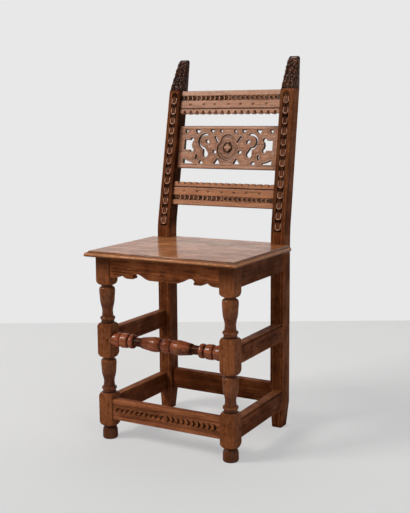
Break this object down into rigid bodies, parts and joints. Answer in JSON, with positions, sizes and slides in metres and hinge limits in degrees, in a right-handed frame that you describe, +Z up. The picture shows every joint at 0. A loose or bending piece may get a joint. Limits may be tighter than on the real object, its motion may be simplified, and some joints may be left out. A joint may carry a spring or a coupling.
{
  "type": "wainscot chair",
  "caption": "Joined wooden side chair with turned front legs and stretcher, shaped apron, moulded board seat and a raked back of carved posts, scalloped rails and a pierced scroll rail.",
  "frame": {"origin": "on the floor, under the middle of the chair's width and depth", "axes": "+Z up; +X to the right of the chair as seen from the front; the front faces -Y"},
  "size_m": [0.4374, 0.445, 1.0005],
  "materials": {
    "frame_wood": "waxed and worn, with dark recesses",
    "seat_wood": "polished, with fine grain from side to side",
    "peg_wood": "waxed end grain"
  },
  "bodies": {
    "root": {"back_post_left": "frame_wood", "back_post_right": "frame_wood", "crest_rail": "frame_wood", "crest_rail_pegs": "peg_wood", "front_apron": "frame_wood", "front_apron_pegs": "peg_wood", "front_leg_left": "frame_wood", "front_leg_right": "frame_wood", "lower_back_rail": "frame_wood", "lower_back_rail_pegs": "peg_wood", "lower_front_stretcher": "frame_wood", "lower_front_stretcher_pegs": "peg_wood", "lower_rear_stretcher": "frame_wood", "lower_rear_stretcher_pegs": "peg_wood", "lower_side_stretcher_left": "frame_wood", "lower_side_stretcher_pegs_left": "peg_wood", "lower_side_stretcher_pegs_right": "peg_wood", "lower_side_stretcher_right": "frame_wood", "pierced_rail": "frame_wood", "pierced_rail_pegs": "peg_wood", "rear_seat_rail": "frame_wood", "rear_seat_rail_pegs": "peg_wood", "seat_board": "seat_wood", "seat_pegs": "peg_wood", "side_seat_rail_left": "frame_wood", "side_seat_rail_pegs_left": "peg_wood", "side_seat_rail_pegs_right": "peg_wood", "side_seat_rail_right": "frame_wood", "turned_stretcher": "frame_wood", "turned_stretcher_pegs": "peg_wood", "upper_side_stretcher_left": "frame_wood", "upper_side_stretcher_pegs_left": "peg_wood", "upper_side_stretcher_pegs_right": "peg_wood", "upper_side_stretcher_right": "frame_wood"}
  },
  "joints": []
}
